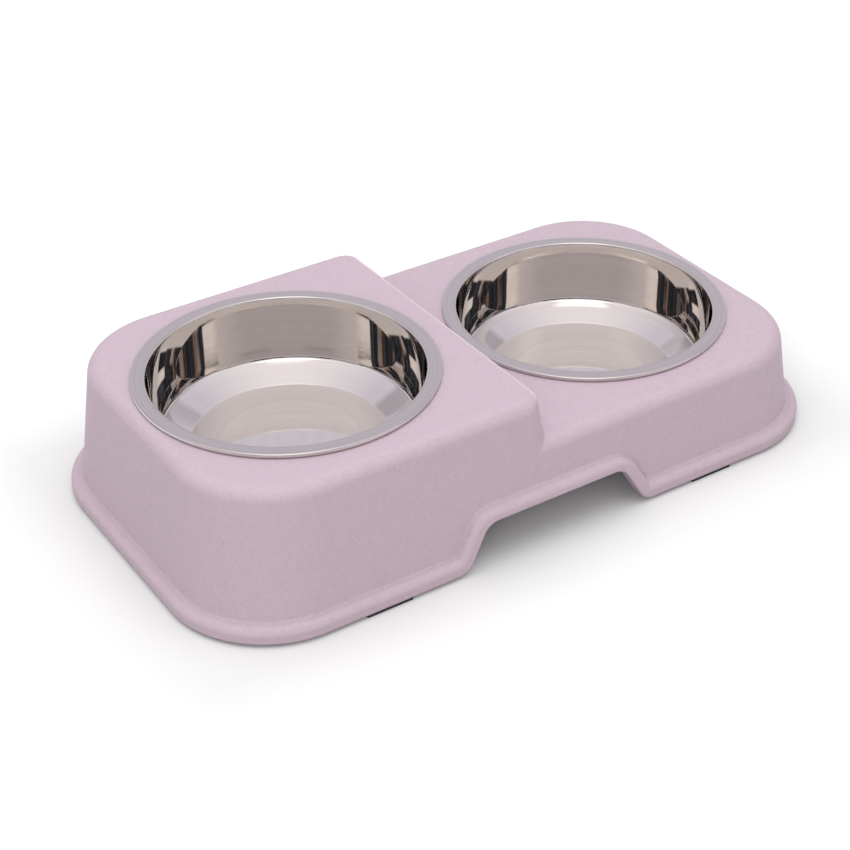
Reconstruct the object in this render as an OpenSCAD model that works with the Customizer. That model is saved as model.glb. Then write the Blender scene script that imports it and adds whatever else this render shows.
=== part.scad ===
// Double pet bowl: a moulded two-level stand that carries two lift-out steel bowls.
// X runs from the high bowl to the low bowl, the front faces -Y, and the floor is at Z = 0.

/* [Stand] */
// Overall length of the stand over its base bead
stand_len = 357; // [350:1:380]
// Overall depth of the stand over its base bead
stand_depth = 199; // [190:1:220]
// Height of the high deck above the floor
high_deck_h = 73; // [68:0.5:84]
// Height of the low deck above the floor
low_deck_h = 50.5; // [48:0.5:60]
// Thickness of the moulded wall and decks
wall_t = 2.8; // [2:0.1:4]
// Lean of the outer walls from upright, in degrees
wall_lean = 6.1; // [3:0.1:9]
// Plan radius of the four outer corners of the walls
corner_r = 47; // [30:1:60]
// Radius of the edge where a deck turns into an outer wall
deck_edge_r = 6; // [4:0.5:9]

/* [Step] */
// How far the step's upper edge lies from the middle of the stand, towards the low bowl
step_edge_x = -1.5; // [-4:0.5:4]
// Lean of the step's wall from upright, in degrees
step_lean = 8; // [3:0.5:12]
// Radius of the step's upper edge
step_edge_r = 2.5; // [1:0.5:4]
// Plan radius of the step's two upright corners
step_corner_r = 10; // [7:0.5:14]
// Radius of the hollow where the step's wall meets the low deck
step_foot_r = 4.5; // [2:0.5:6]

/* [Base bead] */
// How far the bead stands proud of the foot of the wall
bead_w = 5; // [3:0.5:7]
// Radius of the bead's shoulder
bead_shoulder_r = 3.5; // [2:0.5:5]
// Height of the bead
bead_h = 8; // [7.5:0.5:12]

/* [Arch] */
// Width of the arch at the bead's lower edge
arch_foot_w = 104; // [90:1:120]
// Width of the arch at its flat top
arch_top_w = 78; // [60:1:84]
// Height of the arch above the bead's lower edge
arch_h = 22; // [15:0.5:24]
// Radius of the arch's four bends
arch_bend_r = 9; // [6:0.5:12]
// Width of the bead along the arch's slanted sides
arch_side_band = 7; // [6:0.5:10]
// Width of the bead along the arch's flat top
arch_top_band = 6; // [5.5:0.5:8]

/* [Bowls] */
// Distance between the centres of the two bowls
bowl_spacing = 175; // [170:1:180]
// Outer diameter of a bowl's rim
rim_d = 146; // [140:1:150]
// Width of the rim's flange, from its outer edge to the bowl's mouth
rim_w = 7.3; // [6:0.1:9]
// Height of the rim's top above the deck that it rests on
rim_h = 2.3; // [2:0.1:4]
// Width of the rolled edge that rests on the deck
rim_roll_w = 1.6; // [1:0.1:2.5]
// Radius of the edge between the rim's top and the mouth
mouth_edge_r = 1.2; // [0.5:0.1:2]
// Depth of a bowl from its rim's top to its inner floor
bowl_depth = 40; // [36:0.5:44]
// Lean of a bowl's wall from upright, in degrees
bowl_lean = 5; // [2:0.5:8]
// Diameter of a bowl's flat inner floor
floor_d = 96; // [88:1:104]
// Slope of the ring that rises from the floor to the foot of the wall, in degrees
ring_slope = 24; // [16:1:30]
// Inner radius between the floor and the sloped ring
ring_edge_r = 2; // [1:0.5:6]
// Inner radius between the sloped ring and the wall
wall_foot_r = 2.5; // [1.5:0.5:6]
// Thickness of the steel
steel_t = 0.7; // [0.5:0.1:1.2]
// Clearance between a bowl's wall and the edge of its hole in the deck
hole_clearance = 1.5; // [0.5:0.1:2.5]

/* [Pads] */
// Length of a rubber pad
pad_len = 24.5; // [16:0.5:40]
// Width of a rubber pad
pad_w = 6.5; // [4:0.1:7]
// Thickness of a rubber pad, which lifts the stand off the floor
pad_t = 1.5; // [1:0.1:3]
// Plan radius of a pad's corners
pad_corner_r = 0.8; // [0.3:0.1:2]
// Distance from the bead's outer face to a pad's outer side
pad_inset = 0.6; // [0.3:0.1:1.2]
// Distance between the middles of the left and right pads
pad_spacing = 188; // [150:1:220]

/* [Hidden] */
// Steps of a quarter turn in the outer forms' corners
corner_steps = 12;
// Steps of a bend in a profile
bend_steps = 6;
// Steps of the shoulder where the bead runs over the arch
band_steps = 3;
// How far a cut runs past the solid that it opens
overrun = 2;
// Fineness of turned shapes
$fn = 160;
// Height of the stand's lower edge above the floor
base_z = pad_t;
// Radius of a bowl's mouth inside its flange
mouth_r = rim_d / 2 - rim_w;
// Radius of the hole in a deck
hole_r = mouth_r + steel_t + hole_clearance;
// Shoulder radius that the bead's width leaves room for
shoulder_r = min(bead_shoulder_r, bead_w);
// How far the low deck lies below the high deck
step_drop = high_deck_h - low_deck_h;
// Where the step's wall reaches the low deck
step_foot_x = step_edge_x + step_drop * tan(step_lean);
// Left end of the low part, inside the high part
low_form_x = step_edge_x - 2 * step_corner_r;

// How far a wall has leaned in after a rise
function lean_in(rise) = rise * tan(wall_lean);

// How far a rounded edge of radius r has drawn in at a depth below the face above it
function edge_in(depth, r) = depth >= r ? 0 : r - sqrt(r * r - pow(r - max(depth, 0), 2));

// Points along an arc, or its centre alone when it has no radius
function arc_pts(x, y, r, from, to, steps) =
    r <= 0 ? [[x, y]] : [for (k = [0:steps]) let (a = from + (to - from) * k / steps)
        [x + r * cos(a), y + r * sin(a)]];

// A rounded rectangle with one radius for its left corners and one for its right corners
function plan_pts(x_left, x_right, half_y, r_left, r_right) = concat(
    arc_pts(x_right - r_right, half_y - r_right, r_right, 0, 90, corner_steps),
    arc_pts(x_left + r_left, half_y - r_left, r_left, 90, 180, corner_steps),
    arc_pts(x_left + r_left, r_left - half_y, r_left, 180, 270, corner_steps),
    arc_pts(x_right - r_right, r_right - half_y, r_right, 270, 360, corner_steps));

// Heights from a form's base, where its top edge starts to bend, and on up to its top
function bend_levels(base, top, r) = concat([base],
    [for (k = [0:bend_steps]) top - r * (1 - sin(90 * k / bend_steps))]);

// A closed solid stretched over rings of points that lie above each other
module loft(rings) {
    count = len(rings[0]);
    last = len(rings) - 1;
    polyhedron(
        points = [for (ring = rings) each ring],
        faces = concat(
            [[for (k = [0:count - 1]) k]],
            [for (j = [0:last - 1]) for (k = [0:count - 1]) let (next = (k + 1) % count)
                [j * count + k, (j + 1) * count + k, (j + 1) * count + next, j * count + next]],
            [[for (k = [count - 1:-1:0]) last * count + k]]));
}

// The same points at height z
function raised(points, z) = [for (p = points) [p[0], p[1], z]];

// The high part's outline at height z, drawn in all round by the shrink
function high_ring(shrink, z) =
    let (depth = high_deck_h - shrink - z,
        edge = edge_in(depth, deck_edge_r - shrink),
        ridge = edge_in(depth, step_edge_r - shrink),
        side_in = bead_w + lean_in(z - base_z) + shrink + edge,
        x_right = step_edge_x + (high_deck_h - z) * tan(step_lean) - shrink - ridge)
    raised(plan_pts(side_in - stand_len / 2, x_right, stand_depth / 2 - side_in,
        corner_r - shrink - edge, step_corner_r - shrink - ridge), z);

// The low part's outline at height z, whose left end stays inside the high part
function low_ring(shrink, z) =
    let (edge = edge_in(low_deck_h - shrink - z, deck_edge_r - shrink),
        side_in = bead_w + lean_in(z - base_z) + shrink + edge)
    raised(plan_pts(low_form_x, stand_len / 2 - side_in, stand_depth / 2 - side_in,
        0, corner_r - shrink - edge), z);

// The bead's outline at height z
function bead_ring(z) =
    let (draw_in = edge_in(base_z + bead_h - z, shoulder_r),
        bead_r = corner_r + bead_w - draw_in)
    raised(plan_pts(draw_in - stand_len / 2, stand_len / 2 - draw_in,
        stand_depth / 2 - draw_in, bead_r, bead_r), z);

module high_form(shrink, base) {
    loft([for (z = bend_levels(base, high_deck_h - shrink, deck_edge_r - shrink))
        high_ring(shrink, z)]);
}

module low_form(shrink, base) {
    loft([for (z = bend_levels(base, low_deck_h - shrink, deck_edge_r - shrink))
        low_ring(shrink, z)]);
}

// The bead round the foot of the walls, with its rounded shoulder
module bead_form() {
    loft([for (z = bend_levels(base_z - overrun / 2, base_z + bead_h, shoulder_r)) bead_ring(z)]);
}

// The hollow bend that leads from the low deck up the step's wall
module step_foot() {
    centre_x = step_foot_x - step_foot_r * tan(step_lean) + step_foot_r / cos(step_lean);
    wall_x = centre_x - step_foot_r * cos(step_lean) - wall_t / 2;
    run = stand_depth - 2 * (bead_w + lean_in(low_deck_h - base_z) + step_corner_r);
    translate([0, run / 2, 0])
        rotate([90, 0, 0])
            linear_extrude(height = run)
                polygon(concat(
                    arc_pts(centre_x, low_deck_h + step_foot_r, step_foot_r,
                        270, 180 + step_lean, bend_steps),
                    [[wall_x, low_deck_h + step_foot_r * (1 - sin(step_lean))],
                     [wall_x, low_deck_h - wall_t / 2],
                     [centre_x, low_deck_h - wall_t / 2]]));
}

// The arch's outline, moved out by one band along its sides and by another along its top
function arch_pts(side_band, top_band) =
    let (rise = arch_h + top_band,
        slant = atan2(arch_h, (arch_foot_w - arch_top_w) / 2),
        side_shift = side_band / sin(slant),
        foot_x = arch_foot_w / 2 + side_shift,
        top_x = foot_x - rise / tan(slant),
        top_r = arch_bend_r + min(side_band, top_band),
        top_run = top_r * tan(slant / 2),
        foot_r = max(arch_bend_r - side_band, 0),
        foot_run = foot_r * tan(slant / 2),
        right = concat(
            [[foot_x + foot_run, -overrun]],
            arc_pts(foot_x + foot_run, foot_r, foot_r, 270, 270 - slant, bend_steps),
            arc_pts(top_x - top_run, rise - top_r, top_r, 90 - slant, 90, bend_steps)))
    concat(right, [for (k = [len(right) - 1:-1:0]) [-right[k][0], right[k][1]]]);

// The arch's outline run right through the stand from front to back
module arch_prism(side_band, top_band) {
    translate([0, stand_depth / 2 + overrun, base_z])
        rotate([90, 0, 0])
            linear_extrude(height = stand_depth + 2 * overrun)
                polygon(arch_pts(side_band, top_band));
}

// A long wedge with leaning front and back faces, standing proud of the walls
module proud_wedge(proud) {
    base_y = stand_depth / 2 - bead_w + proud;
    foot_y = base_y + lean_in(overrun);
    top_y = base_y - lean_in(low_deck_h);
    translate([-arch_foot_w, 0, base_z])
        rotate([90, 0, 90])
            linear_extrude(height = 2 * arch_foot_w)
                polygon([[-foot_y, -overrun], [foot_y, -overrun],
                    [top_y, low_deck_h], [-top_y, low_deck_h]]);
}

// The bead's run over the arch, built up in steps that follow its rounded shoulder
module arch_band() {
    for (k = [1:band_steps]) {
        turn = 90 * (k - 0.5) / band_steps;
        draw_in = shoulder_r * (1 - cos(turn));
        intersection() {
            arch_prism(arch_side_band - draw_in, arch_top_band - draw_in);
            proud_wedge(bead_w - shoulder_r * (1 - sin(90 * k / band_steps)));
        }
    }
}

// A round hole in a deck that a bowl drops into
module bowl_hole(side, deck_h) {
    translate([side * bowl_spacing / 2, 0, deck_h - wall_t - overrun])
        cylinder(h = wall_t + 2 * overrun, r = hole_r);
}

// The space below the stand's lower edge
module below_base() {
    translate([-stand_len, -stand_depth, base_z - 2 * overrun])
        cube([2 * stand_len, 2 * stand_depth, 2 * overrun]);
}

// The one-piece moulded stand
module stand() {
    color([0.83, 0.75, 0.79])
        difference() {
            union() {
                high_form(0, base_z - overrun);
                low_form(0, base_z - 1.5 * overrun);
                step_foot();
                bead_form();
                arch_band();
            }
            high_form(wall_t, base_z - 3 * overrun);
            low_form(wall_t, base_z - 3 * overrun);
            below_base();
            arch_prism(0, 0);
            bowl_hole(-1, high_deck_h);
            bowl_hole(1, low_deck_h);
        }
}

// Half of a bowl's section, with the deck at height zero
function bowl_pts() =
    let (edge_x = mouth_r + mouth_edge_r,
        edge_z = rim_h - mouth_edge_r,
        wall_top_x = edge_x - mouth_edge_r * cos(bowl_lean),
        wall_top_z = edge_z + mouth_edge_r * sin(bowl_lean),
        floor_z = rim_h - bowl_depth,
        floor_r = floor_d / 2,
        turn = ring_slope + bowl_lean,
        ring_run = ((wall_top_x - floor_r) * cos(bowl_lean)
            - (wall_top_z - floor_z) * sin(bowl_lean)) / cos(turn),
        draw_in = wall_foot_r / (1 + sin(turn)),
        foot_x = floor_r + ring_run * cos(ring_slope)
            - draw_in * (sin(ring_slope) + cos(bowl_lean)),
        foot_z = floor_z + ring_run * sin(ring_slope)
            + draw_in * (cos(ring_slope) + sin(bowl_lean)),
        edge_in_x = floor_r - ring_edge_r * tan(ring_slope / 2),
        flange_z = rim_h - steel_t,
        roll_r = rim_roll_w / 2,
        rim_r = rim_d / 2,
        outer_x = wall_top_x + steel_t / cos(bowl_lean)
            - (wall_top_z - flange_z) * tan(bowl_lean))
    concat(
        [[0, floor_z]],
        arc_pts(edge_in_x, floor_z + ring_edge_r, ring_edge_r, -90, ring_slope - 90, bend_steps),
        arc_pts(foot_x, foot_z, wall_foot_r, ring_slope - 90, -bowl_lean, bend_steps),
        arc_pts(edge_x, edge_z, mouth_edge_r, 180 - bowl_lean, 90, bend_steps),
        arc_pts(rim_r - roll_r, rim_h - roll_r, roll_r, 90, 0, bend_steps),
        [[rim_r, roll_r / 2], [rim_r - roll_r / 2, 0],
         [rim_r - rim_roll_w, 0], [rim_r - rim_roll_w, flange_z],
         [outer_x, flange_z]],
        arc_pts(foot_x, foot_z, wall_foot_r + steel_t, -bowl_lean, ring_slope - 90, bend_steps),
        arc_pts(edge_in_x, floor_z + ring_edge_r, ring_edge_r + steel_t, ring_slope - 90, -90,
            bend_steps),
        [[0, floor_z - steel_t]]);

// One deep-drawn bowl whose rolled rim rests on a deck
module bowl(side, deck_h) {
    color([0.78, 0.78, 0.78])
        translate([side * bowl_spacing / 2, 0, deck_h])
            rotate_extrude()
                polygon(bowl_pts());
}

module high_bowl() {
    bowl(-1, high_deck_h);
}

module low_bowl() {
    bowl(1, low_deck_h);
}

// One rubber pad glued under the bead, at the left or right and at the front or rear
module pad(side, facing) {
    color([0.16, 0.16, 0.17])
        translate([side * pad_spacing / 2,
            facing * (stand_depth / 2 - pad_inset - pad_w / 2), 0])
            linear_extrude(height = pad_t)
                polygon(plan_pts(-pad_len / 2, pad_len / 2, pad_w / 2,
                    pad_corner_r, pad_corner_r));
}

module front_left_pad() {
    pad(-1, -1);
}

module front_right_pad() {
    pad(1, -1);
}

module rear_left_pad() {
    pad(-1, 1);
}

module rear_right_pad() {
    pad(1, 1);
}

stand();
high_bowl();
low_bowl();
front_left_pad();
front_right_pad();
rear_left_pad();
rear_right_pad();
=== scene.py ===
import math

import bpy
import numpy as np
from mathutils import Matrix, Vector


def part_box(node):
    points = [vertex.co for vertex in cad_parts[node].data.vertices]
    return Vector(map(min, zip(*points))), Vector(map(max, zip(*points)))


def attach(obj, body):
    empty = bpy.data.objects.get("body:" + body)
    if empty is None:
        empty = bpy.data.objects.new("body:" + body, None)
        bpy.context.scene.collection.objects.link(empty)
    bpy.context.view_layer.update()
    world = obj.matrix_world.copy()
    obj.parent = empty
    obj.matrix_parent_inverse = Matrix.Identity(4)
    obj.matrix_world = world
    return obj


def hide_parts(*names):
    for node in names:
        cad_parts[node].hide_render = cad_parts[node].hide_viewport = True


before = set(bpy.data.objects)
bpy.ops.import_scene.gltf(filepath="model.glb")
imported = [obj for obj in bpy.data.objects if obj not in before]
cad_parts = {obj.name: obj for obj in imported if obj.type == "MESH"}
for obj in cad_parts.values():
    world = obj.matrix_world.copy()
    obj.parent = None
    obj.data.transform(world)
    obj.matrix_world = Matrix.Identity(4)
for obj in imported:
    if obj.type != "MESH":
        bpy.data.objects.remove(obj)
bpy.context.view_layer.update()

# Sizes, in metres. The overall ones come from the frame.
MM = 0.001
STAND_LO, STAND_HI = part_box("stand")
HIGH_BOWL_LO, HIGH_BOWL_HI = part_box("high_bowl")
LOW_BOWL_LO, LOW_BOWL_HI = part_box("low_bowl")
HALF_LEN = STAND_HI.x
HALF_DEPTH = STAND_HI.y
BASE_Z = STAND_LO.z
HIGH_Z = STAND_HI.z
RIM_H = HIGH_BOWL_HI.z - HIGH_Z
LOW_Z = LOW_BOWL_HI.z - RIM_H
HIGH_X = (HIGH_BOWL_LO.x + HIGH_BOWL_HI.x) / 2
LOW_X = (LOW_BOWL_LO.x + LOW_BOWL_HI.x) / 2
RIM_R = (HIGH_BOWL_HI.x - HIGH_BOWL_LO.x) / 2
BOWL_DROP = HIGH_BOWL_HI.z - HIGH_BOWL_LO.z

# The stand
WALL_T = 2.8 * MM
WALL_LEAN = math.radians(6.1)
CORNER_R = 47 * MM
DECK_EDGE_R = 6 * MM
STEP_EDGE_X = -1.5 * MM
STEP_LEAN = math.radians(8)
STEP_EDGE_R = 2.5 * MM
STEP_CORNER_R = 10 * MM
STEP_FOOT_R = 4.5 * MM
STEP_FOOT_LEAST_R = 0.01 * MM
BEAD_W = 5 * MM
BEAD_SHOULDER_R = 3.5 * MM
BEAD_H = 8 * MM
BEAD_JOIN_R = 0.4 * MM
CUT_EDGE_R = 0.9 * MM
ARCH_FOOT_W = 104 * MM
ARCH_TOP_W = 78 * MM
ARCH_H = 22 * MM
ARCH_SLANT = math.atan2(ARCH_H, (ARCH_FOOT_W - ARCH_TOP_W) / 2)
ARCH_BEND_R = 9 * MM
ARCH_SIDE_BAND = 7 * MM
ARCH_TOP_BAND = 6 * MM

# The bowls
STEEL_T = 0.7 * MM
RIM_W = 7.3 * MM
RIM_ROLL_W = 1.6 * MM
RIM_CURL_SHARE = 0.2
FLANGE_DIP = 0.14 * MM
FLANGE_EASE = 0.35 * MM
FLANGE_BEND = 0.6 * MM
MOUTH_EDGE_R = 1.2 * MM
BOWL_LEAN = math.radians(5)
FLOOR_R = 48 * MM
RING_SLOPE = math.radians(24)
RING_EDGE_R = 2 * MM
WALL_FOOT_R = 2.5 * MM
BOWL_TURNS = 256
HOLE_CLEARANCE = 1.5 * MM
HOLE_R = RIM_R - RIM_W + STEEL_T + HOLE_CLEARANCE

# The stand's mesh
CELL = 0.75 * MM
BLOCK_CELLS = 6
BLOCK_REACH = 1.15
BATCH_BLOCKS = 2000
SETTLE_REACH = 0.05 * MM
SETTLE_ROUNDS = 3
LEAST_SLOPE = 0.5
NORMAL_REACH = 0.1 * MM
STAND_TRIANGLES = 110000
TINY = 1e-12

# The camera, fitted to the photograph's 850 pixel frame
IMAGE_SIDE = 850
FOCAL_PX = 1875.9
SENSOR = 36.0
CAMERA_POS = Vector((-0.43744, -0.66146, 0.53653))
CAMERA_AZ = math.radians(-32.822)
CAMERA_EL = math.radians(33.575)
CAMERA_ROLL = math.radians(-0.724)

# Colours, in linear light
WHITE = (1, 1, 1, 1)
PLASTIC_PINK = (0.620, 0.478, 0.556, 1)
PLASTIC_GREY = (0.548, 0.446, 0.508, 1)
PLASTIC_PATCH = (0.53, 0.44, 0.49, 1)
PLASTIC_SPECK = (0.30, 0.24, 0.22, 1)
# The colour of the painted highlight on the step's rounded edge
PAINTED_EDGE_HIGHLIGHT = (0.78, 0.70, 0.75, 1)
STEEL_LIGHT = (0.785, 0.755, 0.715, 1)
STEEL_DARK = (0.745, 0.715, 0.675, 1)
SATIN_LIGHT = (0.69, 0.65, 0.625, 1)
SATIN_DARK = (0.56, 0.53, 0.505, 1)
RUBBER_LIGHT = (0.035, 0.033, 0.034, 1)
RUBBER_DARK = (0.018, 0.017, 0.018, 1)
PAPER_LIT = (0.48, 0.46, 0.46, 1)
PAPER_SEEN = (0.87, 0.87, 0.87, 1)

# How fine each noise is, as features in a metre
MOTTLE_SCALE = 700.0
PATCH_SCALE = 160.0
SPECK_SCALE = 170.0
PLASTIC_GRAIN_SCALE = 1500.0
MARKS_SCALE = 1400.0
SATIN_SCALE = 900.0
TURNING_SCALE = 240.0
SMUDGE_SCALE = 55.0
RUBBER_GRAIN_SCALE = 1800.0

# The painted highlight along the step's rounded edge, a lighter line that stands in for light the edge
# catches: how far it lies behind the edge, half its width, and its soft side
HIGHLIGHT_BACK = 0.9 * MM
HIGHLIGHT_HALF_W = 1.7 * MM
HIGHLIGHT_SOFT = 0.1 * MM

# The floor: half its side, where its painted glow starts and is full beyond the stand, and how strong that
# is. The glow fades out near the stand, which leaves the floor round it darker: partly real shadow, partly
# painted shade
FLOOR_HALF = 4.0
FLOOR_GLOW_FROM = 0.005
FLOOR_GLOW_TO = 0.16
FLOOR_GLOW = 0.42

# The studio: an even world, and what the polished steel mirrors of it, in degrees. Each part of the dark
# curtain behind the camera has a centre height, half a height and half a width, and the curtain has lighter
# folds, thin streaks and a table's edge. There is a bright panel at each side of it, a dimmer part behind,
# and a glow overhead.
WORLD_LEVEL = 0.70
FACING_AZ = -122.5
CURTAIN_SWAY = 6
CURTAIN_PARTS = ((26.7, 12, 34), (20, 5.5, 64), (35, 3, 60))
FOLD_BEARINGS = (15, -22)
STREAK_BEARINGS = (11, -16)
TABLE_BEARING = -4
PANEL_FROM = 35
PANEL_TO = 50
GLOW_EL = 77
GLOW_CORE = 12
GLOW_INNER = 22
GLOW_OUTER = 50
GLOW_CORE_COLOUR = (2.2, 2.1, 2.15, 1)
GLOW_COLOUR = (1.06, 1.00, 1.06, 1)
CEILING_COLOUR = (0.72, 0.685, 0.78, 1)
SIDES_COLOUR = (0.95, 0.90, 0.97, 1)
PANEL_COLOUR = (1.24, 1.16, 1.21, 1)
BEHIND_COLOUR = (0.36, 0.33, 0.36, 1)
CLOTH_DARK = (0.028, 0.030, 0.040, 1)
CLOTH_LIGHT = (0.13, 0.14, 0.19, 1)
FOLD_COLOUR = (0.60, 0.52, 0.54, 1)
STREAK_COLOUR = (0.42, 0.24, 0.17, 1)
TABLE_COLOUR = (0.80, 0.76, 0.86, 1)


# Distance functions: negative inside the solid

def round_and(a, b, r):
    """What lies in both a and b, with the edge between them rounded to r."""
    return np.minimum(-r, np.maximum(a, b)) + np.hypot(np.maximum(r + a, 0), np.maximum(r + b, 0))


def round_or(a, b, r):
    """What lies in a or b, with the corner between them filled to radius r."""
    nearer = np.minimum(a, b)
    fill = r - np.hypot(np.maximum(r - np.maximum(a, 0), 0), np.maximum(r - np.maximum(b, 0), 0))
    return np.where(nearer > r, nearer, np.minimum(nearer, fill))


def smooth(t):
    """A share that eases from 0 to 1."""
    t = np.clip(t, 0, 1)
    return t * t * (3 - 2 * t)


def rounded_box(x, y, half_x, half_y, r):
    """A rectangle in plan with corners of radius r."""
    qx = np.abs(x) - (half_x - r)
    qy = np.abs(y) - (half_y - r)
    return np.hypot(np.maximum(qx, 0), np.maximum(qy, 0)) + np.minimum(np.maximum(qx, qy), 0) - r


def wall_face(x, y, z):
    """The four leaning outer walls."""
    inset = BEAD_W + (z - BASE_Z) * math.tan(WALL_LEAN)
    return rounded_box(x, y, HALF_LEN - inset, HALF_DEPTH - inset, CORNER_R) * math.cos(WALL_LEAN)


def blocks(x, y, z):
    """The high part and the low part, and the hollow bend between them."""
    wall = wall_face(x, y, z)
    step = (x - STEP_EDGE_X - (HIGH_Z - z) * math.tan(STEP_LEAN)) * math.cos(STEP_LEAN)
    side = round_and(wall, step, STEP_CORNER_R)
    turn = np.arctan2(np.maximum(STEP_CORNER_R + step, 0), np.maximum(STEP_CORNER_R + wall, 0))
    edge_r = DECK_EDGE_R + (STEP_EDGE_R - DECK_EDGE_R) * smooth(turn / (math.pi / 2))
    high = round_and(side, z - HIGH_Z, edge_r)
    low = round_and(wall, z - LOW_Z, DECK_EDGE_R)
    foot_r = STEP_FOOT_LEAST_R + STEP_FOOT_R * smooth(-wall / STEP_CORNER_R)
    return round_or(high, low, foot_r)


def slanted_bend(side, top, r):
    """What lies below a level face and a face at the arch's slant, joined by an arc of radius r."""
    along = (side - top * math.cos(ARCH_SLANT)) / math.sin(ARCH_SLANT) + r * math.tan(ARCH_SLANT / 2)
    depth = top + r
    in_fan = (along > 0) & (depth * math.sin(ARCH_SLANT) > along * math.cos(ARCH_SLANT))
    return np.where(in_fan, np.hypot(along, depth) - r, np.maximum(side, top))


def arch(x, z, side_band, top_band, foot_level):
    """All below the foot level, and the arch above it, widened by one band at its sides and one on top."""
    rise = z - BASE_Z
    side = (np.abs(x) - ARCH_FOOT_W / 2 + rise / math.tan(ARCH_SLANT)) * math.sin(ARCH_SLANT) - side_band
    upper = slanted_bend(side, rise - ARCH_H - top_band, ARCH_BEND_R + top_band)
    lower = -slanted_bend(-side, foot_level - rise, ARCH_BEND_R - side_band)
    return np.where(rise > (foot_level + ARCH_H + top_band) / 2, upper, lower)


def bead(x, y, z):
    """The bead round the foot, which rises over the arches."""
    draw = math.tan(WALL_LEAN) * np.maximum(z - BASE_Z - BEAD_H + BEAD_SHOULDER_R, 0)
    face = rounded_box(x, y, HALF_LEN - draw, HALF_DEPTH - draw, CORNER_R + BEAD_W)
    return round_and(face, arch(x, z, ARCH_SIDE_BAND, ARCH_TOP_BAND, BEAD_H), BEAD_SHOULDER_R)


def stand_distance(p):
    """The whole moulding."""
    x, y, z = p[:, 0], p[:, 1], p[:, 2]
    solid = blocks(x, y, z)
    outer = round_or(solid, bead(x, y, z), BEAD_JOIN_R)
    shell = np.maximum(outer, -(solid + WALL_T))
    holes = np.minimum(np.hypot(x - HIGH_X, y), np.hypot(x - LOW_X, y)) - HOLE_R
    return round_and(shell, -np.minimum(arch(x, z, 0, 0, 0), holes), CUT_EDGE_R)


# From a distance function to a mesh

def slope(distance, p, reach):
    """The direction in which the distance grows fastest, by differences over a short reach."""
    out = np.empty_like(p)
    for axis in range(3):
        d = np.zeros(3)
        d[axis] = reach
        out[:, axis] = (distance(p + d) - distance(p - d)) / (2 * reach)
    return out


def settle(distance, p):
    """Moves points onto the surface, in steps of twice the reach at most."""
    for _ in range(SETTLE_ROUNDS):
        g = slope(distance, p, SETTLE_REACH)
        size = np.maximum((g * g).sum(1), LEAST_SLOPE ** 2)
        move = -distance(p)[:, None] * g / size[:, None]
        length = np.linalg.norm(move, axis=1, keepdims=True)
        p = p + move * np.minimum(1, 2 * SETTLE_REACH / np.maximum(length, TINY))
    return p


def grid_index(counts):
    """Every whole-number place in a block of cells, one a row."""
    return np.stack(np.meshgrid(*[np.arange(n) for n in counts], indexing="ij"), -1).reshape(-1, 3)


def sampled(distance, lo, counts, cell):
    """The distance on a grid: exact near the surface, and only right in its sign elsewhere."""
    blocks_n = [int(math.ceil(c / BLOCK_CELLS)) for c in counts]
    index = grid_index(blocks_n)
    centres = lo + (index * BLOCK_CELLS + (BLOCK_CELLS - 1) / 2) * cell
    at_centre = distance(centres)
    field = np.where(at_centre < 0, -1.0, 1.0).astype(np.float32).reshape(blocks_n)
    for axis in range(3):
        field = np.repeat(field, BLOCK_CELLS, axis)
    near = index[np.abs(at_centre) < BLOCK_REACH * math.sqrt(3) / 2 * BLOCK_CELLS * cell]
    steps = grid_index([BLOCK_CELLS] * 3)
    for first in range(0, len(near), BATCH_BLOCKS):
        cells = (near[first:first + BATCH_BLOCKS, None, :] * BLOCK_CELLS + steps[None]).reshape(-1, 3)
        field[cells[:, 0], cells[:, 1], cells[:, 2]] = distance(lo + cells * cell)
    return field


def net_points(field, active, lo, cell):
    """In each active cell, the middle of the places where the surface crosses the cell's edges."""
    total = np.zeros((len(active), 3))
    hits = np.zeros(len(active))
    for axis in range(3):
        for c in [(i, j, k) for i in (0, 1) for j in (0, 1) for k in (0, 1)]:
            if c[axis]:
                continue
            far = list(c)
            far[axis] = 1
            a = field[tuple((active + c).T)].astype(float)
            b = field[tuple((active + far).T)].astype(float)
            cut = (a < 0) != (b < 0)
            point = np.tile(np.array(c, float), (len(active), 1))
            point[:, axis] = np.where(cut, a / np.where(cut, a - b, 1), 0)
            total += point * cut[:, None]
            hits += cut
    return lo + (active + total / hits[:, None]) * cell


def net_quads(inside, number):
    """A quad round each grid edge that the surface crosses, facing out."""
    quads = []
    for axis in range(3):
        u, v = (axis + 1) % 3, (axis + 2) % 3
        low = [slice(1, -1)] * 3
        low[axis] = slice(0, -1)
        high = list(low)
        high[axis] = slice(1, None)
        a, b = inside[tuple(low)], inside[tuple(high)]
        edges = np.argwhere(a != b)
        leaving = a[tuple(edges.T)]
        at = edges + 1
        at[:, axis] -= 1
        ring = []
        for du, dv in ((0, 0), (-1, 0), (-1, -1), (0, -1)):
            c = at.copy()
            c[:, u] += du
            c[:, v] += dv
            ring.append(number[tuple(c.T)])
        quad = np.stack(ring, 1)
        quads.append(np.where(leaving[:, None], quad, quad[:, ::-1]))
    return np.vstack(quads)


def surface_net(field, lo, cell):
    """Points and quads of the zero surface: one point in each cell that it crosses."""
    inside = field < 0
    shape = np.array(field.shape) - 1
    count = np.zeros(shape, np.uint8)
    for i, j, k in grid_index((2, 2, 2)):
        count += inside[i:i + shape[0], j:j + shape[1], k:k + shape[2]]
    active = np.argwhere((count > 0) & (count < 8))
    number = np.full(shape, -1, np.int32)
    number[tuple(active.T)] = np.arange(len(active))
    return net_points(field, active, lo, cell), net_quads(inside, number)


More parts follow.
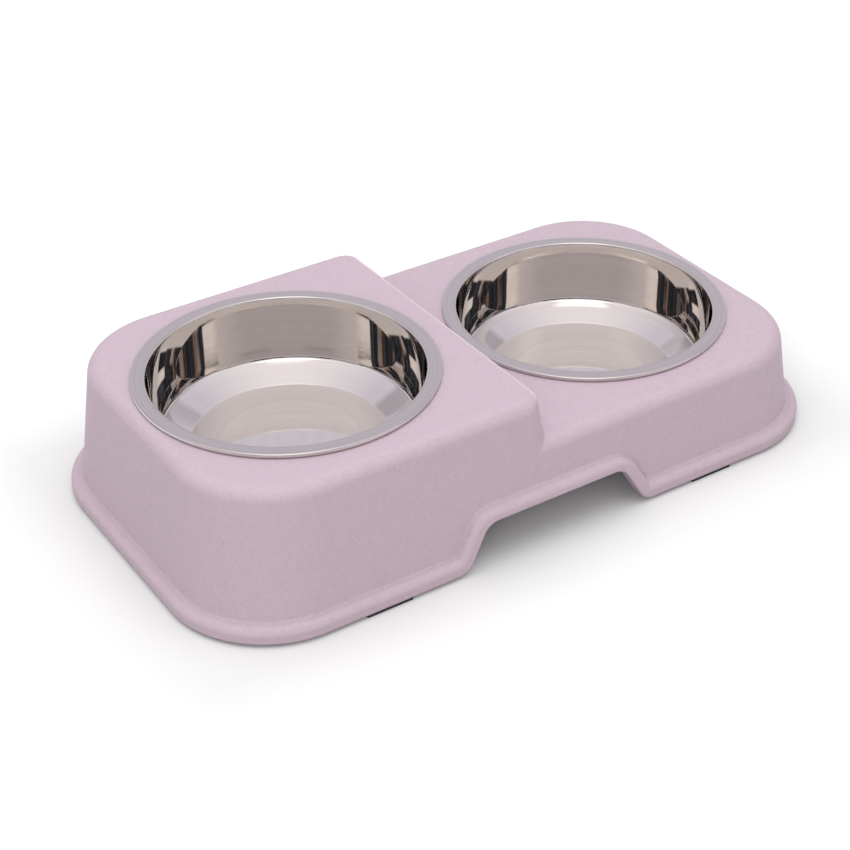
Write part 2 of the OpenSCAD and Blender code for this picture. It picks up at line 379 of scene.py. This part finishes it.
def mesh_of(name, points, faces):
    """A mesh from points and faces of one size."""
    mesh = bpy.data.meshes.new(name)
    size = faces.shape[1]
    mesh.vertices.add(len(points))
    mesh.vertices.foreach_set("co", points.astype(np.float32).ravel())
    mesh.loops.add(faces.size)
    mesh.loops.foreach_set("vertex_index", faces.astype(np.int32).ravel())
    mesh.polygons.add(len(faces))
    mesh.polygons.foreach_set("loop_start", np.arange(0, faces.size, size, dtype=np.int32))
    mesh.update(calc_edges=True)
    return mesh


def thinned(mesh, share):
    """The mesh with the given share of its triangles, fewest where it is flat."""
    obj = bpy.data.objects.new("thinning", mesh)
    bpy.context.scene.collection.objects.link(obj)
    modifier = obj.modifiers.new("thin", "DECIMATE")
    modifier.ratio = share
    modifier.use_collapse_triangulate = True
    done = bpy.data.meshes.new_from_object(obj.evaluated_get(bpy.context.evaluated_depsgraph_get()))
    bpy.data.objects.remove(obj)
    return done


def shade_smooth(mesh):
    """Smooth shading on every face."""
    mesh.polygons.foreach_set("use_smooth", np.ones(len(mesh.polygons), bool))


def placed(name, mesh, location=(0, 0, 0)):
    """A new object in the scene."""
    obj = bpy.data.objects.new(name, mesh)
    obj.location = location
    bpy.context.scene.collection.objects.link(obj)
    return obj


def make_stand():
    """The moulded stand, drawn from its distance function."""
    cell = CELL
    margin = 3 * cell
    lo = np.array(STAND_LO) - margin
    counts = np.ceil((np.array(STAND_HI) + margin - lo) / cell).astype(int)
    points, quads = surface_net(sampled(stand_distance, lo, counts, cell), lo, cell)
    full = mesh_of("stand_full", settle(stand_distance, points), quads)
    mesh = thinned(full, min(1.0, STAND_TRIANGLES / (2 * len(quads))))
    mesh.name = "moulded_stand"
    points = np.empty(len(mesh.vertices) * 3, np.float32)
    mesh.vertices.foreach_get("co", points)
    points = settle(stand_distance, points.reshape(-1, 3).astype(float))
    mesh.vertices.foreach_set("co", points.astype(np.float32).ravel())
    normals = slope(stand_distance, points, NORMAL_REACH)
    normals /= np.maximum(np.linalg.norm(normals, axis=1, keepdims=True), TINY)
    shade_smooth(mesh)
    mesh.normals_split_custom_set_from_vertices(normals.tolist())
    mesh.update()
    return placed("moulded_stand", mesh)


# The bowls

def arc(cx, cz, r, start, end, steps):
    """Points along an arc in a section, with angles in degrees."""
    angles = np.radians(np.linspace(start, end, steps + 1))
    return [(cx + r * math.cos(a), cz + r * math.sin(a)) for a in angles]


def between(start, end, steps):
    """Points from the start along a straight line, short of its end."""
    return [tuple(a + (b - a) * k / steps for a, b in zip(start, end)) for k in range(steps)]


def bowl_section():
    """Half of a bowl's section from the middle of its inner floor round to the middle of its underside."""
    lean, slope_deg = math.degrees(BOWL_LEAN), math.degrees(RING_SLOPE)
    mouth_x = RIM_R - RIM_W + MOUTH_EDGE_R
    mouth_z = RIM_H - MOUTH_EDGE_R
    top_x = mouth_x - MOUTH_EDGE_R * math.cos(BOWL_LEAN)
    top_z = mouth_z + MOUTH_EDGE_R * math.sin(BOWL_LEAN)
    floor_z = RIM_H - BOWL_DROP + STEEL_T
    turn = RING_SLOPE + BOWL_LEAN
    run = ((top_x - FLOOR_R) * math.cos(BOWL_LEAN) - (top_z - floor_z) * math.sin(BOWL_LEAN)) / math.cos(turn)
    draw_in = WALL_FOOT_R / (1 + math.sin(turn))
    foot_x = FLOOR_R + run * math.cos(RING_SLOPE) - draw_in * (math.sin(RING_SLOPE) + math.cos(BOWL_LEAN))
    foot_z = floor_z + run * math.sin(RING_SLOPE) + draw_in * (math.cos(RING_SLOPE) + math.sin(BOWL_LEAN))
    edge_x, edge_z = FLOOR_R - RING_EDGE_R * math.tan(RING_SLOPE / 2), floor_z + RING_EDGE_R
    roll_r = RIM_H / 2
    roll_x = RIM_R - roll_r
    curl_x = RIM_R - RIM_ROLL_W
    flange_z = RIM_H - FLANGE_DIP
    under_x = top_x + STEEL_T / math.cos(BOWL_LEAN)
    under_z = RIM_H - STEEL_T
    ring_edge = arc(edge_x, edge_z, RING_EDGE_R, -90, slope_deg - 90, 8)
    wall_foot = arc(foot_x, foot_z, WALL_FOOT_R, slope_deg - 90, -lean, 14)
    mouth = arc(mouth_x, mouth_z, MOUTH_EDGE_R, 180 - lean, 90, 10)
    inside = between((0, floor_z), ring_edge[0], 12) + ring_edge
    inside += between(ring_edge[-1], wall_foot[0], 5)[1:] + wall_foot
    inside += between(wall_foot[-1], mouth[0], 8)[1:] + mouth
    flat_start = mouth[-1][0] + FLANGE_EASE
    flat_end = roll_x - FLANGE_EASE
    flange = [(flat_start + (flat_end - flat_start) * k / 6, flange_z) for k in range(7)]
    outer = arc(roll_x, roll_r, roll_r, 90, -90, 20)
    curl = [(curl_x, RIM_ROLL_W * RIM_CURL_SHARE), (curl_x, flange_z - STEEL_T)]
    below = [(under_x + FLANGE_BEND, under_z), (under_x, under_z - FLANGE_BEND)]
    below += arc(foot_x, foot_z, WALL_FOOT_R + STEEL_T, -lean, slope_deg - 90, 10)
    below += arc(edge_x, edge_z, RING_EDGE_R + STEEL_T, slope_deg - 90, -90, 8)
    below += between(below[-1], (0, floor_z - STEEL_T), 6)[1:] + [(0, floor_z - STEEL_T)]
    return inside + flange + outer + curl + below


def turned(name, section, turns):
    """A closed mesh from a section turned about Z, whose first and last points lie on the axis."""
    ring = section[1:-1]
    angles = 2 * math.pi * np.arange(turns) / turns
    points = [(0.0, 0.0, section[0][1])]
    for r, z in ring:
        points += [(r * math.cos(a), r * math.sin(a), z) for a in angles]
    points.append((0.0, 0.0, section[-1][1]))
    last = len(points) - 1
    end = 1 + (len(ring) - 1) * turns
    faces = []
    for k in range(turns):
        n = (k + 1) % turns
        faces.append((0, 1 + k, 1 + n))
        for j in range(len(ring) - 1):
            a, b = 1 + j * turns, 1 + (j + 1) * turns
            faces.append((a + k, b + k, b + n, a + n))
        faces.append((end + k, last, end + n))
    mesh = bpy.data.meshes.new(name)
    mesh.from_pydata(points, [], faces)
    mesh.update()
    shade_smooth(mesh)
    return mesh


# Materials

class Nodes:
    """The node tree of a material or world, with short calls to add nodes and link them."""

    def __init__(self, owner):
        self.owner = owner
        owner.use_nodes = True
        self.tree = owner.node_tree
        self.tree.nodes.clear()

    def feed(self, socket, value):
        """Links an output to an input, or sets the input to a plain value."""
        if isinstance(value, bpy.types.NodeSocket):
            self.tree.links.new(value, socket)
        else:
            socket.default_value = value

    def add(self, kind, inputs=None, **settings):
        """A new shader node with its inputs fed."""
        node = self.tree.nodes.new("ShaderNode" + kind)
        for key, value in settings.items():
            setattr(node, key, value)
        for key, value in (inputs or {}).items():
            self.feed(node.inputs[key], value)
        return node

    def math(self, operation, a, b=0.0):
        """One step of arithmetic."""
        return self.add("Math", {0: a, 1: b}, operation=operation).outputs[0]

    def times(self, a, b):
        """The product of two values."""
        return self.math("MULTIPLY", a, b)

    def mix(self, share, a, b):
        """A colour that goes from a to b with the share."""
        return self.add("Mix", {0: share, 6: a, 7: b}, data_type="RGBA").outputs[2]

    def noise(self, vector, scale, detail=2.0, roughness=0.5):
        """A smooth random value near 0.5."""
        inputs = {"Vector": vector, "Scale": scale, "Detail": detail, "Roughness": roughness}
        return self.add("TexNoise", inputs).outputs["Fac"]

    def ramp(self, value, low, high):
        """A share that rises from 0 at low to 1 at high."""
        return self.add("MapRange", {"Value": value, "From Min": low, "From Max": high}).outputs[0]

    def scaled(self, value, low, high):
        """A share turned into a value from low to high."""
        return self.add("MapRange", {"Value": value, "To Min": low, "To Max": high}).outputs[0]

    def band(self, value, centre, half, soft):
        """One within half of the centre, and less over the soft edges beyond."""
        away = self.math("ABSOLUTE", self.math("SUBTRACT", value, float(centre)))
        return self.ramp(away, half + soft, half)

    def flat_length(self, x, y):
        """The length of a vector in plan."""
        return self.math("SQRT", self.math("ADD", self.times(x, x), self.times(y, y)))

    def place(self):
        """Coordinates of the object itself, in metres."""
        return self.add("TexCoord").outputs["Object"]

    def bump(self, strength, distance, height):
        """A normal that follows a small relief."""
        return self.add("Bump", {"Strength": strength, "Distance": distance, "Height": height}).outputs[0]

    def finish(self, shader, kind="OutputMaterial"):
        """Joins the shader to the output and gives back the material or world."""
        out = self.add(kind)
        self.tree.links.new(shader.outputs[0], out.inputs["Surface"])
        return self.owner


def new_material(name):
    """The nodes of a new, empty material."""
    return Nodes(bpy.data.materials.new(name))


def plastic_material():
    """Matte plant-fibre plastic: pale mauve pink with fine mottling and a few darker specks, and a painted
    highlight along the step's edge.
    """
    n = new_material("stand_plastic")
    place = n.place()
    mottle = n.noise(place, MOTTLE_SCALE, 3.0, 0.6)
    patch = n.noise(place, PATCH_SCALE, 3.0, 0.6)
    colour = n.mix(n.ramp(mottle, 0.38, 0.68), PLASTIC_PINK, PLASTIC_GREY)
    colour = n.mix(n.times(n.ramp(patch, 0.45, 0.75), 0.35), colour, PLASTIC_PATCH)
    cells = n.add("TexVoronoi", {"Vector": place, "Scale": SPECK_SCALE, "Randomness": 1.0})
    dot = n.math("LESS_THAN", cells.outputs["Distance"], 0.07)
    chosen = n.math("GREATER_THAN", n.add("SeparateColor", {0: cells.outputs["Color"]}).outputs[0], 0.72)
    colour = n.mix(n.times(n.times(dot, chosen), 0.35), colour, PLASTIC_SPECK)
    # A painted highlight: a lighter line on the step's rounded edge, where the edge catches the light
    axes = n.add("SeparateXYZ", {0: place}).outputs
    across = n.band(axes[0], STEP_EDGE_X - HIGHLIGHT_BACK, HIGHLIGHT_HALF_W, HIGHLIGHT_SOFT)
    below_deck = n.ramp(axes[2], HIGH_Z - 0.02 * MM, HIGH_Z - 0.12 * MM)
    near_deck = n.ramp(axes[2], HIGH_Z - 3 * MM, HIGH_Z - 2 * MM)
    edge = n.times(across, n.times(below_deck, near_deck))
    colour = n.mix(n.times(edge, 0.7), colour, PAINTED_EDGE_HIGHLIGHT)
    grain = n.noise(place, PLASTIC_GRAIN_SCALE)
    shader = n.add("BsdfPrincipled", {"Base Color": colour, "Roughness": n.scaled(mottle, 0.50, 0.62),
                                      "Normal": n.bump(0.12, 0.2 * MM, grain), "Specular IOR Level": 0.4})
    return n.finish(shader)


def steel_material():
    """Stainless steel: polished inside with faint turning marks, satin on the rim."""
    n = new_material("bowl_steel")
    place = n.place()
    axes = n.add("SeparateXYZ", {0: place}).outputs
    radius = n.flat_length(axes[0], axes[1])
    mouth_r = RIM_R - RIM_W
    rim = n.ramp(radius, mouth_r - 0.4 * MM, mouth_r + 0.9 * MM)
    profile = n.add("CombineXYZ", {0: radius, 1: axes[2]}).outputs[0]
    polish = n.scaled(n.noise(place, SMUDGE_SCALE, 3.0, 0.55), 0.015, 0.045)
    rough = n.math("ADD", polish, n.times(rim, 0.25))
    satin = n.mix(n.ramp(n.noise(profile, SATIN_SCALE, 2.0, 0.6), 0.35, 0.65), SATIN_DARK, SATIN_LIGHT)
    turning = n.ramp(n.noise(profile, TURNING_SCALE, 3.0, 0.65), 0.35, 0.65)
    inside = n.mix(turning, STEEL_LIGHT, STEEL_DARK)
    relief = n.bump(0.04, 0.1 * MM, n.noise(profile, MARKS_SCALE, 2.0, 0.6))
    shader = n.add("BsdfPrincipled", {"Base Color": n.mix(rim, inside, satin), "Metallic": 1.0,
                                      "Roughness": rough, "Normal": relief})
    return n.finish(shader)


def rubber_material():
    """Matte dark rubber with a fine grain."""
    n = new_material("pad_rubber")
    grain = n.noise(n.place(), RUBBER_GRAIN_SCALE)
    shader = n.add("BsdfPrincipled", {"Base Color": n.mix(grain, RUBBER_DARK, RUBBER_LIGHT),
                                      "Roughness": 0.75, "Normal": n.bump(0.3, 0.2 * MM, grain)})
    return n.finish(shader)


def mirror_ray(n, light):
    """One for a ray that a mirror or glass sends on."""
    return n.math("MAXIMUM", light.outputs["Is Glossy Ray"], light.outputs["Is Transmission Ray"])


def floor_material():
    """A pale floor that shows white through a painted glow away from the stand; near the stand the glow fades
    out, leaving real shadow and painted shade.
    """
    n = new_material("floor")
    light = n.add("LightPath")
    seen = n.math("MAXIMUM", light.outputs["Is Camera Ray"], mirror_ray(n, light))
    axes = n.add("SeparateXYZ", {0: n.place()}).outputs
    beyond = [n.math("MAXIMUM", n.math("SUBTRACT", n.math("ABSOLUTE", axes[k]), half), 0.0)
              for k, half in enumerate((HALF_LEN, HALF_DEPTH))]
    # The painted glow: none at the stand's outline and full beyond it, so the floor close round the stand
    # stays darker as painted shade
    far = n.ramp(n.flat_length(*beyond), FLOOR_GLOW_FROM, FLOOR_GLOW_TO)
    diffuse = n.add("BsdfDiffuse", {"Color": n.mix(seen, PAPER_LIT, PAPER_SEEN)})
    glow = n.add("Emission", {"Color": WHITE, "Strength": n.times(seen, n.times(far, FLOOR_GLOW))})
    return n.finish(n.add("AddShader", {0: diffuse.outputs[0], 1: glow.outputs[0]}))


def paint(obj, material):
    """Gives an object one material."""
    obj.data.materials.clear()
    obj.data.materials.append(material)


# Stage

def make_floor():
    """The floor, which is no part of the object."""
    corners = [(x * FLOOR_HALF, y * FLOOR_HALF, 0) for x, y in ((-1, -1), (1, -1), (1, 1), (-1, 1))]
    mesh = bpy.data.meshes.new("floor")
    mesh.from_pydata(corners, [], [(0, 1, 2, 3)])
    obj = placed("floor", mesh)
    paint(obj, floor_material())


def curtain_cloth(n, bearing, height):
    """The dark cloth with its folds and thin streaks, and the table's edge in front of it."""
    across = n.add("CombineXYZ", {0: bearing, 1: n.times(height, 0.35)}).outputs[0]
    cloth = n.mix(n.ramp(n.noise(across, 0.20, 3.0, 0.6), 0.48, 0.72), CLOTH_DARK, CLOTH_LIGHT)
    for centre in FOLD_BEARINGS:
        fold = n.times(n.band(bearing, centre, 2.5, 2.5), n.ramp(height, 29.0, 33.0))
        cloth = n.mix(fold, cloth, FOLD_COLOUR)
    for centre in STREAK_BEARINGS:
        cloth = n.mix(n.band(bearing, centre, 0.7, 0.9), cloth, STREAK_COLOUR)
    table = n.times(n.band(bearing, TABLE_BEARING, 8.0, 3.0), n.ramp(height, 21.5, 19.5))
    return n.mix(table, cloth, TABLE_COLOUR)


def make_world():
    """Even studio light, and what polish mirrors of it: a pale room with a dark curtain and a glow."""
    n = Nodes(bpy.data.worlds.new("studio"))
    way = n.add("SeparateXYZ", {0: n.add("TexCoord").outputs["Generated"]}).outputs
    turn, up = math.radians(FACING_AZ), math.radians(GLOW_EL)
    ahead = n.math("ADD", n.times(way[0], math.cos(turn)), n.times(way[1], math.sin(turn)))
    aside = n.math("SUBTRACT", n.times(way[1], math.cos(turn)), n.times(way[0], math.sin(turn)))
    height = n.math("DEGREES", n.math("ARCSINE", way[2]))
    bearing = n.math("DEGREES", n.math("ARCTAN2", aside, ahead))
    sway = n.noise(n.add("CombineXYZ", {0: bearing, 1: n.times(height, 4.0)}).outputs[0], 0.03)
    bearing = n.math("ADD", bearing, n.times(n.math("SUBTRACT", sway, 0.5), 2.0 * CURTAIN_SWAY))
    side = n.math("ABSOLUTE", bearing)
    toward = n.math("ADD", n.times(ahead, math.cos(up)), n.times(way[2], math.sin(up)))
    from_glow = n.math("DEGREES", n.math("ARCCOSINE", toward))
    pale = n.mix(n.ramp(from_glow, GLOW_INNER, GLOW_OUTER), GLOW_COLOUR, CEILING_COLOUR)
    pale = n.mix(n.ramp(from_glow, GLOW_CORE + 6.0, GLOW_CORE), pale, GLOW_CORE_COLOUR)
    sides = n.times(n.ramp(height, 64.0, 50.0), n.ramp(side, 110.0, 55.0))
    pale = n.mix(sides, pale, SIDES_COLOUR)
    panel = n.times(n.ramp(side, PANEL_FROM - 2.0, PANEL_FROM + 1.0), n.ramp(side, 64.0, PANEL_TO))
    pale = n.mix(n.times(panel, n.ramp(height, 41.0, 37.0)), pale, PANEL_COLOUR)
    behind = n.times(n.band(side, 128.0, 16.0, 16.0), n.band(height, 39.0, 4.0, 3.0))
    pale = n.mix(n.times(behind, 0.65), pale, BEHIND_COLOUR)
    curtain = 0.0
    for centre, half, wide in CURTAIN_PARTS:
        part = n.times(n.band(height, centre, half, 0.8), n.band(side, 0, wide, 2.5))
        curtain = n.math("MAXIMUM", curtain, part)
    mirrored = n.mix(curtain, pale, curtain_cloth(n, bearing, height))
    light = n.add("LightPath")
    colour = n.mix(mirror_ray(n, light), (WORLD_LEVEL, WORLD_LEVEL, WORLD_LEVEL, 1), mirrored)
    colour = n.mix(light.outputs["Is Camera Ray"], colour, WHITE)
    bpy.context.scene.world = n.finish(n.add("Background", {"Color": colour, "Strength": 1.0}), "OutputWorld")


def area_light(name, place, target, size, power):
    """A softbox that lights the scene and isn't mirrored in the steel."""
    data = bpy.data.lights.new(name, "AREA")
    data.shape = "RECTANGLE"
    data.size, data.size_y = size
    data.energy = power
    obj = placed(name, data, place)
    obj.rotation_mode = "QUATERNION"
    obj.rotation_quaternion = (Vector(target) - Vector(place)).to_track_quat("-Z", "Y")
    obj.visible_glossy = False


def make_camera():
    """The photograph's camera."""
    data = bpy.data.cameras.new("camera")
    data.sensor_width = SENSOR
    data.lens = SENSOR * FOCAL_PX / IMAGE_SIDE
    obj = placed("camera", data)
    ca, sa = math.cos(CAMERA_AZ), math.sin(CAMERA_AZ)
    ce, se = math.cos(CAMERA_EL), math.sin(CAMERA_EL)
    cr, sr = math.cos(CAMERA_ROLL), math.sin(CAMERA_ROLL)
    back = Vector((sa * ce, -ca * ce, se))
    right = Vector((ca, sa, 0))
    up = back.cross(right)
    across = cr * right + sr * up
    above = -sr * right + cr * up
    obj.matrix_world = Matrix.Translation(CAMERA_POS) @ Matrix((across, above, back)).transposed().to_4x4()
    bpy.context.scene.camera = obj


make_camera()
make_floor()
make_world()
area_light("top_softbox", place=(-0.05, -0.03, 1.42), target=(0, 0, 0), size=(1.6, 1.2), power=9.3)
area_light("corner_fill", place=(-1.25, -1.47, 0.75), target=(0, 0, 0.04), size=(0.9, 1.4), power=8.0)

plastic = plastic_material()
steel = steel_material()
rubber = rubber_material()

stand = make_stand()
paint(stand, plastic)
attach(stand, "stand")
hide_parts("stand")

# Each bowl has its own origin on its axis at the deck, from which its turning marks are measured
bowl_mesh = turned("deep_drawn_bowl", bowl_section(), BOWL_TURNS)
for node, x, deck_z in (("high_bowl", HIGH_X, HIGH_Z), ("low_bowl", LOW_X, LOW_Z)):
    bowl = placed("polished_" + node, bowl_mesh.copy(), (x, 0, deck_z))
    paint(bowl, steel)
    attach(bowl, node)
    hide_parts(node)

for node in ("front_left_pad", "front_right_pad", "rear_left_pad", "rear_right_pad"):
    paint(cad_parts[node], rubber)

bpy.context.scene.view_settings.view_transform = "Standard"
